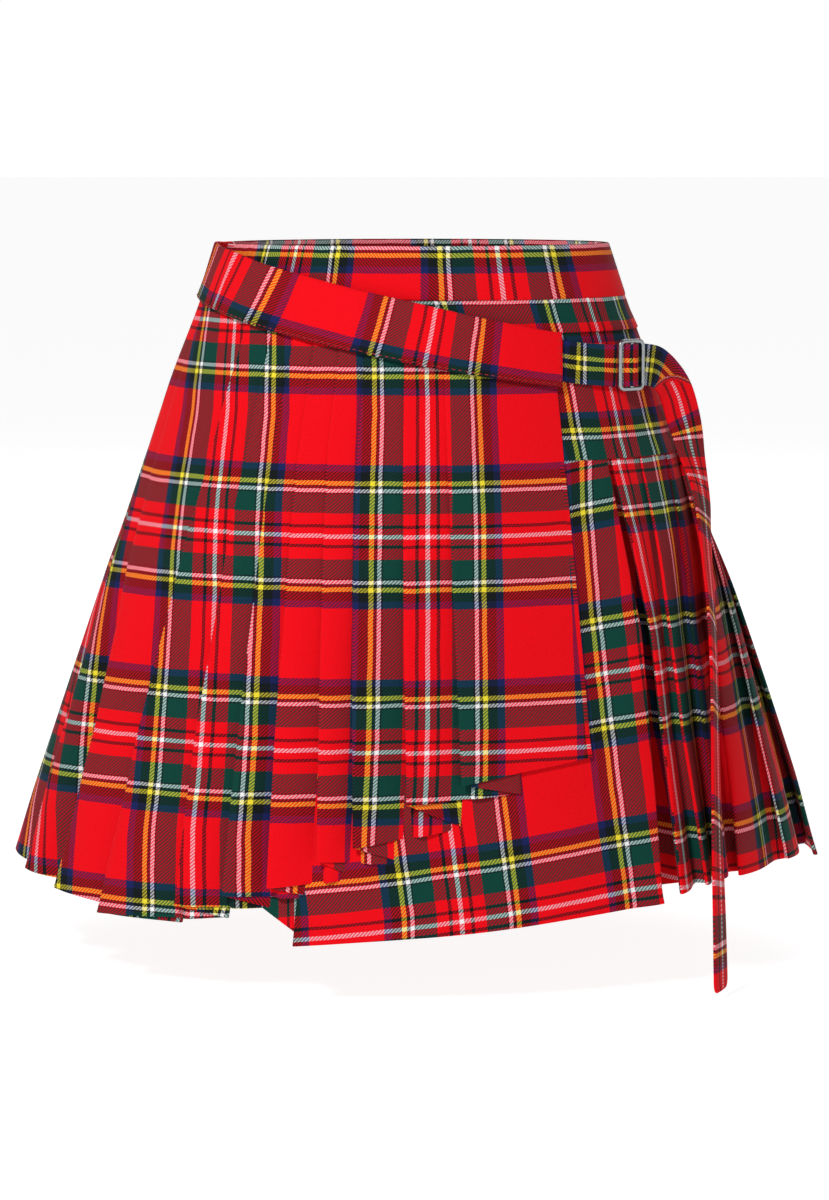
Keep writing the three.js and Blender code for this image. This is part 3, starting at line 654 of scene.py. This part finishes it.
def gap_cloth(rows):
    """The first cloth of the left pleats: it hangs well in from behind the apron's turned edge to
    the middle of the first pleat, and comes back out round its inner fold as its underlay."""
    share, behind = np.linspace(1.0, 0.0, 10)[:, None], np.linspace(0.1, 0.7, 6)[:, None]
    hem = FOLDS[0, 6] - GAP_DROP
    z = BELOW_TOP + (hem - BELOW_TOP) * rows
    deg = np.concatenate([turned_deg(z, share), fold_deg(behind, z)])
    z = z + 0 * deg
    drop = GAP_START + GAP_DEPTH * smooth((YOKE_BOTTOM - z) / GAP_WAY)
    gap = body(deg, z, inner_out(deg, z) - drop)
    last = np.array([0.85, 0.93, 1.0])
    lowest = in_line((last, 0, 0, FOLDS[0, 6], 0, 0, last, 0))
    columns = np.concatenate([lowest, underlay_columns(0)], axis=1)
    rest, _, _ = pleat_points(columns, rows, under_yoke, PLEAT_RUFFLES)
    middle = np.concatenate([gap, rest])
    run = run_along(middle)
    return middle, run + left_place(fold_deg(0, GRAIN_LEVEL), GRAIN_LEVEL) - run[-1]


pleats("left_front_pleats", pleat_columns(0, FIRST_BACK), gap_cloth)
BACK_MIDDLE = FIRST_BACK + BACK_FOLDS // 2
pleats("back_pleats_left", pleat_columns(FIRST_BACK, BACK_MIDDLE))
pleats("back_pleats_right", pleat_columns(BACK_MIDDLE, SIDE_FOLD))


# --- Over panel -----------------------------------------------------------------------------
# The pleated wrap across the front, a length of its own sewn into the sloping band. The pleats
# get shorter towards its free edge, so the hem climbs and shows each inner fold below the next.
# The free edge is turned under and pressed.

BAND_ROWS = (                     # angle, height of the middle line, height of the band, stand-off
    (-105, 0, 32, 0.9), (-98, 0, 32, 2.6), (-92, 0, 33, 4.6), (-80, -0.5, 34, 6.6),
    (-60, -6.5, 35.5, 6.8), (-31, -19.5, 36, 6.8), (1, -35.4, 36, 6.8), (8, -38.9, 35.3, 6.8),
    (16, -42.8, 34.5, 5.6), (26, -47.2, 33.5, 4.6), (36.5, -51.2, 32.5, 4.4),
)
BAND_DEGS, BAND_MIDDLES, BAND_HEIGHTS, BAND_OUTS = np.array(BAND_ROWS, float).T
PANEL_PIVOT = ((-82, 2.5), (-266, 1.7), (-322, 1.1))
PANEL_SPREAD = ((-82, 1.0), (-130, 1.045), (-325, 1.12))
PANEL_RED_MIDDLE = -90.6          # mm, height of the middle of a red field
PANEL_EDGE_TURN = 9.0             # mm of cloth turned under at the free edge
PANEL_EDGE_RISE = 1.1             # mm between the edge and its turned-under strip
PANEL_RUFFLES = [
    (300, -120, 292, -350, 30, 2.0), (322, -150, 316, -340, 22, -1.8), (340, -110, 342, -300, 16, 1.2),
    (384, -75, 381, -268, 9, -0.9), (379, -100, 377, -274, 6, 0.7),
]


def panel_place(deg, z):
    """The pattern's place on the over panel, from the pivot line's angle and the spread."""
    pivot = at_height(PANEL_PIVOT, z) + 360
    return HALF_SETT + (arc(deg, z) - arc(pivot, z)) / at_height(PANEL_SPREAD, z)


def under_band(deg):
    """The panel's top edge, 2.5 mm up behind the band's lower edge."""
    front = np.where(deg > 180, deg - 360, deg)
    middle = np.interp(front, BAND_DEGS, BAND_MIDDLES)
    return middle - np.interp(front, BAND_DEGS, BAND_HEIGHTS) / 2 + 2.5


def over_panel():
    """The pleats from the side fold on, then the flat end: from the last fold at the top layer,
    falling to the lowest at the free edge, with its turned-under strip behind."""
    rows = edged(0.0, 1.0, 62, 0.0015)[None, :]
    columns = pleat_columns(SIDE_FOLD, LAST_PANEL)
    middle, deg, z = pleat_points(columns, rows, under_band, PANEL_RUFFLES)
    warp, after = pleat_warp(columns, middle, panel_place(deg, z), matched=1)
    steps = np.concatenate([FACE_PLACES[:-1], (1.95, 1.97, 2.0)])
    end = face_columns(LAST_PANEL, FOLDS[LAST_PANEL, 5], FOLDS[-1, 5], steps)
    end_middle, end_deg, end_z = pleat_points(end, rows, under_band, PANEL_RUFFLES)
    end_warp = panel_place(end_deg, end_z)
    edge_deg, edge_z = end_deg[-1:], end_z[-1:]
    turn = TURN[:, None]
    half = PANEL_EDGE_RISE / 2
    bend = body(edge_deg, edge_z, STACK_BASE - half + half * np.cos(turn), half * np.sin(turn))
    back = np.linspace(0.0, PANEL_EDGE_TURN, 8)[:, None]
    under = body(edge_deg, edge_z, STACK_BASE - 2 * half - 0.02 * back, -back)
    under_warp = end_warp[-1:] + 1.5 + back
    # The pressed edge shows a thin line of plain red.
    red = 2 * HALF_SETT
    end_warp[-2:] = red
    middle = np.concatenate([middle, end_middle, bend, under])
    warp = np.concatenate([warp, end_warp, np.full(bend.shape[:2], red), under_warp])
    after = np.concatenate([after, warp[len(after):]])
    after[columns.shape[1] + steps.size - 3] = red
    weft = PANEL_RED_MIDDLE - middle[..., 2]
    piece = cloth("over_panel_cloth", middle, warp, weft, CLOTH, warp_after=after)
    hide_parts("over_panel")


over_panel()


# --- Over band ------------------------------------------------------------------------------
# The wrap's own band, doubled tartan twill cut with a dark stripe along its lower edge. It runs
# level from the back seam and slopes down across the front to the strap, with the panel sewn in
# under it, and a row of red stitches close to its lower edge and its end.

BAND_MARKS = np.array([
    (-141.8, -105.0), (-102.2, -83.0), (-61.0, -61.7), (-35.0, -44.6), (-19.8, -34.4), (19.8, -14.1),
    (35.0, -7.4), (61.0, 3.5), (87.0, 13.7), (102.2, 20.4), (138.0, 36.5),
])
BAND_RUFFLES = [
    (-88, 15, -82, -14, 5, -0.5), (-66, 10, -70, -20, 6, 0.5), (-38, 0, -34, -30, 7, -0.6),
    (-12, -12, -16, -40, 6, 0.5), (8, -22, 12, -54, 6, -0.5), (24, -34, 21, -60, 5, 0.4),
]
STITCH = (2.6, 1.4, 0.28)         # mm, length of a stitch, gap to the next, radius of the thread
STITCH_INSET = 1.6
BAND_LEAN_DEGS = (18.0, 36.5)     # where the columns start to lean and where the band ends
BAND_LEAN = (-0.8, 2.4)           # degrees at the end, at the lower edge and at the upper


def band_point(deg, up, lift=0.0):
    """A point of the band: up is the distance above its lower edge. The end is cut square to the
    band, so towards it the columns lean."""
    height = np.interp(deg, BAND_DEGS, BAND_HEIGHTS)
    start, end = BAND_LEAN_DEGS
    low, high = BAND_LEAN
    deg = deg + smooth((deg - start) / (end - start)) * (low + (high - low) * up / height)
    z = np.interp(deg, BAND_DEGS, BAND_MIDDLES) - height / 2 + up
    out = np.interp(deg, BAND_DEGS, BAND_OUTS)
    return body(deg, z, out + lift + ruffle(deg, z, BAND_RUFFLES))


def over_band():
    """Columns round the body between the back seam and the end, rows down from the top edge."""
    deg = edged(-105.0, 36.5, 150, 0.4)[:, None]
    share = edged(1.0, 0.0, 16, 0.03)[None, :]
    height = np.interp(deg, BAND_DEGS, BAND_HEIGHTS)
    middle = band_point(deg, height * share)
    climb = np.gradient(np.interp(deg, BAND_DEGS, BAND_MIDDLES), axis=0)
    slope = climb / np.gradient(arc(deg, -25.0), axis=0)
    warp = np.interp(deg, BAND_MARKS[:, 1], BAND_MARKS[:, 0]) + slope * height * (share - 0.5)
    # The lower edge lies in the dark stripes, this far beyond the red field's own edge.
    lower = np.interp(deg, (-60.0, 36.5), (9.6, 7.5))
    weft = HALF_REPEAT[0][1] + lower - height * share
    piece = cloth("over_band_cloth", middle, warp, weft, BAND_THICK, thin_ends=True)
    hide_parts("over_band")


def stitches(name, deg, up):
    """A row of stitches on the band, from angles and heights above its lower edge: each is a
    rounded bar of thread, six points round and seven long, thinning to its ends as a circle."""
    length, gap, radius = STITCH
    path = band_point(deg, up, BAND_THICK / 2)
    outward = unit(path - band_point(deg, up))
    run = run_along(path)
    starts = np.arange(gap, run[-1] - length, length + gap)
    place = np.linspace(0.0, 1.0, 7)
    at = starts[:, None] + place * length
    middle, lift = (
        np.stack([np.interp(at, run, line[:, k]) for k in range(3)], -1) for line in (path, outward))
    side = np.cross(lift, unit(np.gradient(middle, axis=1)))
    turn = np.radians(np.arange(0, 360, 60))
    thick = radius * np.sqrt(1.02 - (2 * place - 1) ** 2)
    ring = side[:, :, None] * np.cos(turn)[:, None] + lift[:, :, None] * np.sin(turn)[:, None]
    arch = lift * (0.2 * np.sin(np.pi * place))[None, :, None]
    points = (middle + arch)[:, :, None] + ring * thick[None, :, None, None]
    at = np.arange(starts.size * 42).reshape(-1, 7, 6)
    turned = np.roll(at, -1, axis=2)
    quads = np.stack([at[:, :-1], turned[:, :-1], turned[:, 1:], at[:, 1:]], -1).reshape(-1, 4)
    caps = np.concatenate([at[:, 0, ::-1], at[:, -1]]).tolist()
    new_piece(name, points, quads.tolist() + caps, THREAD)


def sewing_thread():
    """Spun polyester sewing thread, dyed dark red: finely twisted, with a soft sheen."""
    surface, tree = new_surface("Spun polyester thread")
    where = add(tree, "TexCoord").outputs["Object"]
    twist = add(tree, "TexNoise", {"Vector": where, "Scale": 1500.0, "Detail": 1.0})
    tone = add(tree, "ValToRGB", {0: twist})
    tone.color_ramp.elements[0].color = linear("7A0A12")
    tone.color_ramp.elements[1].color = linear("A81420")
    shade(tree, {"Base Color": tone, "Roughness": 0.55, "Specular IOR Level": 0.4})
    return surface


THREAD = sewing_thread()
over_band()
stitches("band_hem_stitches", np.linspace(-103.0, 35.2, 200), STITCH_INSET)
stitches("band_end_stitches", 35.6, np.linspace(STITCH_INSET, 31.0, 30))


# --- Strap ----------------------------------------------------------------------------------
# A flat strap of doubled twill, cut along the yellow stripes, sewn in behind the end of the
# band. It goes through the buckle and hangs from it on its edge, down past the hem.

STRAP_WIDTH = 25.0
STRAP_THICK = 1.7
STRAP_CUP = 0.7                   # mm that the edges bend back, beyond the buckle
BUCKLE_MIDDLE = np.array([128.9, -62.3, -55.5])
BUCKLE_TURN = np.radians(40.0)
BUCKLE_ALONG = np.array([np.cos(BUCKLE_TURN), np.sin(BUCKLE_TURN), 0.0])
BUCKLE_OUT = np.array([np.sin(BUCKLE_TURN), -np.cos(BUCKLE_TURN), 0.0])
BUCKLE_SIDE_BAR = 9.25            # mm from the buckle's middle to the middle of a side bar
BAR_CLEAR = 1.85
STRAP_DIP = 2.7                   # mm in under a side bar, and out over the middle one
STRAP_SEAM = 101.0                # mm along, where its second length starts
STRAP_WEFTS = (33.5, 61.0)        # places on the cloth of the middle line of the two lengths
STRAP_START = (                   # angle, height, stand-off, lean of the edge with the body
    (32.5, -49.6, 1.2, 1.0), (37.2, -51.4, 1.6, 1.0), (41.5, -53.2, 3.7, 0.95),
    (46.5, -54.4, 6.1, 0.75),
)
STRAP_TAIL = (                    # place of the middle line, and the direction of the top edge
    (144.4, -44.5, -57.4, 0, 0, 1), (150.2, -38, -62, 0.16, 0.12, 1),
    (155.2, -32.5, -68.4, 0.40, 0.30, 0.85), (159.2, -29.5, -76.6, 0.70, 0.46, 0.56),
    (162.2, -27.5, -86.5, 0.80, 0.52, 0.32), (165.4, -26, -97.5, 0.78, 0.62, 0.14),
    (168.2, -28.6, -110.7, 0.66, 0.75, 0.05), (172.5, -34, -127.3, 0.46, 0.89, 0),
    (174.6, -42, -142.2, 0.37, 0.93, 0), (175.5, -50, -158, 0.30, 0.95, 0),
    (176.4, -60, -176, 0.24, 0.97, 0), (177.6, -73.6, -198, 0.20, 0.98, 0),
    (178.2, -87.3, -220, 0.20, 0.98, 0), (178.1, -104.7, -254, 0.20, 0.98, 0),
    (177.8, -119.5, -288, 0.22, 0.97, 0), (177.7, -135.5, -327, 0.26, 0.96, 0),
    (177.9, -144, -350, 0.30, 0.95, 0), (178.3, -149, -372, 0.33, 0.94, 0),
    (178.9, -151, -395, 0.35, 0.94, 0), (179.4, -151.6, -413, 0.36, 0.93, 0),
    (179.5, -151.7, -417, 0.36, 0.93, 0),
)
# Where the pattern's landmarks fall along the strap: distance from its start and place, in mm.
STRAP_MARKS = np.array([
    (0.0, 8.1), (85.0, 93.1), (139.0, 152.5), (196.0, 211.4), (387.0, 399.0), (463.0, 455.4),
    (489.0, 482.0),
])


def strap_rows():
    """The strap's middle line and the direction of its top edge, from its tables of places."""
    deg, z, out, lean = np.array(STRAP_START).T
    start = body(deg, z, out)
    up_slope = (body(deg, z + 1, 0.0) - body(deg, z, 0.0)) * lean[:, None]
    up_slope[:, 2] = 1.0
    bar, clear = BUCKLE_SIDE_BAR, BAR_CLEAR
    along = np.array([-bar - clear, -bar + clear, -clear, clear, bar - clear, bar + clear])[:, None]
    dip = np.array([-1, -1, 1, 1, -1, -1])[:, None] * STRAP_DIP
    through = BUCKLE_MIDDLE + along * BUCKLE_ALONG + dip * BUCKLE_OUT
    tail = np.array(STRAP_TAIL, float)
    level = np.tile([0.0, 0.0, 1.0], (6, 1))
    line = np.concatenate([start, through, tail[:, :3]])
    return line, np.concatenate([up_slope, level, tail[:, 3:]])


def curve_through(points, steps):
    """A smooth curve through points: between two of them a cubic whose slope at each end is half
    the step from the point before to the point after."""
    before = np.concatenate([points[:1], points[:-1]])[:-1]
    after = np.concatenate([points[1:], points[-1:]])[1:]
    a, b = points[:-1], points[1:]
    t = (np.arange(steps) / steps)[None, :, None]
    slope_a, slope_b = ((b - before) / 2)[:, None], ((after - a) / 2)[:, None]
    a, b = a[:, None], b[:, None]
    curve = (2 * t ** 3 - 3 * t ** 2 + 1) * a + (t ** 3 - 2 * t ** 2 + t) * slope_a
    curve = curve + (3 * t ** 2 - 2 * t ** 3) * b + (t ** 3 - t ** 2) * slope_b
    return np.concatenate([curve.reshape(-1, points.shape[1]), points[-1:]])


def strap():
    """The middle line carried across its own edge direction, cupped a little, rounded at the tip."""
    line, edge = strap_rows()
    line, edge = curve_through(line, 8), curve_through(edge, 8)
    run = run_along(line)
    along = unit(np.gradient(line, axis=0))
    edge = unit(edge - along * (edge * along).sum(-1, keepdims=True))
    outward = np.cross(along, edge)
    from_tip = np.clip((run[-1] - run + 2.2) / 9.0, 0, 1)
    half = STRAP_WIDTH / 2 * np.sqrt(np.clip(1 - (1 - from_tip) ** 2.6, 0.2, 1))
    share = edged(1.0, -1.0, 14, 0.05)
    cup = STRAP_CUP * smooth((run - 120) / 60)[:, None] * (share ** 2)[None, :]
    middle = line[:, None] + edge[:, None] * (half[:, None] * share)[..., None]
    middle = middle - outward[:, None] * cup[..., None]
    # Beyond its turn the strap is a second length, cut along the white line.
    across = STRAP_WIDTH / 2 * share[None, :]
    second = smooth((run[:, None] - STRAP_SEAM - 0.9 * across) / 3)
    weft = STRAP_WEFTS[0] + (STRAP_WEFTS[1] - STRAP_WEFTS[0]) * second - np.abs(across)
    warp = np.interp(run, STRAP_MARKS[:, 0], STRAP_MARKS[:, 1])[:, None]
    piece = cloth("strap_cloth", middle, warp, weft, STRAP_THICK, thin_ends=True)
    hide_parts("strap")


strap()


# --- Slide buckle ---------------------------------------------------------------------------
# A flat three-bar slide, stamped from steel strip, chamfered and brushed along its bars, then
# nickel plated. The strap goes under the first bar, over the middle one and under the last.

BUCKLE_SIZE = (21.0, 31.0, 2.4)   # mm, along the strap, across it and thick
BUCKLE_BAR = 2.5
BUCKLE_ROUND = 3.2
BUCKLE_CHAMFER = 0.55


def plated_steel():
    """Nickel-plated steel, brushed: grey-white metal whose fine scratches stretch its shine."""
    surface, tree = new_surface("Brushed nickel-plated steel")
    where = add(tree, "TexCoord").outputs["Object"]
    grain = add(tree, "Mapping", {"Vector": where, "Scale": (9000.0, 9000.0, 500.0)})
    brush = add(tree, "TexNoise", {"Vector": grain, "Scale": 1.0, "Detail": 2.0})
    tone = add(tree, "ValToRGB", {0: brush})
    for stop, place, colour in zip(tone.color_ramp.elements, (0.3, 0.7), ("7B7D81", "B9BBBE")):
        stop.position = place
        stop.color = linear(colour)
    shade(tree, {
        "Base Color": tone, "Metallic": 1.0,
        "Roughness": add(tree, "MapRange", {"Value": brush, "To Min": 0.22, "To Max": 0.42}),
        "Normal": add(tree, "Bump", {"Strength": 0.15, "Distance": 0.00005, "Height": brush})})
    return surface


def section(width, thick, chamfer):
    """A rectangle with its four corners cut, as eight points: across and out."""
    x, y = width / 2, thick / 2
    return np.array([
        (x - chamfer, -y), (x, -y + chamfer), (x, y - chamfer), (x - chamfer, y),
        (-x + chamfer, y), (-x, y - chamfer), (-x, -y + chamfer), (-x + chamfer, -y)])


def slide_buckle():
    """The section carried round a rectangle with round corners, and along the middle bar."""
    width, height, thick = BUCKLE_SIZE
    profile = section(BUCKLE_BAR, thick, BUCKLE_CHAMFER)
    x, y = (width - BUCKLE_BAR) / 2 - BUCKLE_ROUND, (height - BUCKLE_BAR) / 2 - BUCKLE_ROUND
    turn = np.radians(np.linspace(0, 90, 9))
    quarter = [
        np.stack([np.cos(turn + start), np.sin(turn + start)], -1)
        for start in np.arange(4) * np.pi / 2]
    corners = [(x, y), (-x, y), (-x, -y), (x, -y)]
    loop = np.concatenate([corner + BUCKLE_ROUND * q for corner, q in zip(corners, quarter)])
    side = np.concatenate(quarter)
    ring = np.concatenate([
        loop[:, None] + side[:, None] * profile[None, :, :1],
        np.broadcast_to(profile[None, :, 1:], (len(loop), 8, 1))], -1)
    bar_y = np.array([-1.0, 1.0]) * (height / 2 - BUCKLE_BAR * 0.6)
    bar = np.stack(np.broadcast_arrays(profile[:, 0], bar_y[:, None], profile[:, 1] * 0.92), -1)
    points = np.concatenate([ring.reshape(-1, 3), bar.reshape(-1, 3)])
    points = (BUCKLE_MIDDLE + points[:, :1] * BUCKLE_ALONG + points[:, 1:2] * (0, 0, 1)
              + points[:, 2:] * BUCKLE_OUT)
    at = np.arange(len(loop) * 8).reshape(-1, 8)
    after, over = np.roll(at, -1, axis=0), np.roll(at, -1, axis=1)
    around = np.stack([at, over, np.roll(after, -1, axis=1), after], -1).reshape(-1, 4)
    low, high = len(loop) * 8 + np.arange(16).reshape(2, 8)
    sides = np.stack([low, np.roll(low, -1), np.roll(high, -1), high], -1)
    faces = np.concatenate([around, sides])[:, ::-1].tolist() + [low.tolist(), high[::-1].tolist()]
    piece = new_piece("slide_buckle_frame", points, faces, plated_steel(), smooth=False)
    soften = piece.modifiers.new("Softened edges", "BEVEL")
    soften.width = 0.00018
    soften.segments = 2
    soften.limit_method = "ANGLE"
    soften.angle_limit = np.radians(25)
    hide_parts("slide_buckle")


slide_buckle()


# --- Floor, light and camera ------------------------------------------------------------------
# A plain white floor just under the tip of the strap, and a white sky. A key lamp stands in front
# on the left, a weak fill on the right and a wide lamp behind. The camera is 2.2 m off, a little
# over the waist, and looks slightly down.

FLOOR_HEIGHT = -0.4218
floor_mesh = bpy.data.meshes.new("floor")
floor_corners = [(x, y, FLOOR_HEIGHT) for x, y in ((-30, -8), (30, -8), (30, 52), (-30, 52))]
floor_mesh.from_pydata(floor_corners, [], [(0, 1, 2, 3)])
floor = new_object("floor", floor_mesh)
floor_paint, floor_tree = new_surface("Matt white studio floor")
shade(floor_tree, {
    "Base Color": linear("959595"), "Roughness": 1.0, "Specular IOR Level": 0.0,
    "Emission Color": linear("FFFFFF"), "Emission Strength": 0.9})
floor_mesh.materials.append(floor_paint)

sky = bpy.data.worlds.new("Studio white")
bpy.context.scene.world = sky
sky.use_nodes = True
sky.node_tree.nodes.clear()
# White all round at the level of the eye, and dimmer overhead.
direction = add(sky.node_tree, "TexCoord").outputs["Generated"]
upward = add(sky.node_tree, "SeparateXYZ", {0: direction}).outputs[2]
bright = add(sky.node_tree, "MapRange", {
    "Value": upward, "From Min": 0.1, "From Max": 0.3, "To Min": 1.0, "To Max": 0.15})
glow = add(sky.node_tree, "Background", {"Color": linear("FFFFFF"), "Strength": bright})
add(sky.node_tree, "OutputWorld", {"Surface": glow})

for lamp_name, place, aim, power, size in (
        ("Key lamp", (-1.0, -2.0, 1.6), (0, 0, -0.15), 60.0, 0.4),
        ("Fill lamp", (0.9, -2.2, 0.4), (0, 0, -0.2), 4.0, 1.2),
        ("Back lamp", (0.5, 2.3, 1.7), (0, 0, -0.1), 36.0, 1.4)):
    lamp_data = bpy.data.lights.new(lamp_name, "AREA")
    lamp_data.energy = power
    lamp_data.size = size
    lamp = new_object(lamp_name, lamp_data)
    lamp.location = place
    away = np.subtract(place, aim)
    tilt = np.arctan2(np.hypot(away[0], away[1]), away[2])
    lamp.rotation_euler = (tilt, 0.0, np.arctan2(away[1], away[0]) + np.pi / 2)

camera_data = bpy.data.cameras.new("Camera")
camera_data.sensor_width = 36.0
camera_data.lens = 106.98
camera = new_object("Camera", camera_data)
camera.location = (-0.001, -2.2, 0.076)
camera.rotation_euler = (np.radians(90 - 7.29), 0.0, 0.0)
bpy.context.scene.camera = camera
bpy.context.scene.view_settings.view_transform = "Standard"
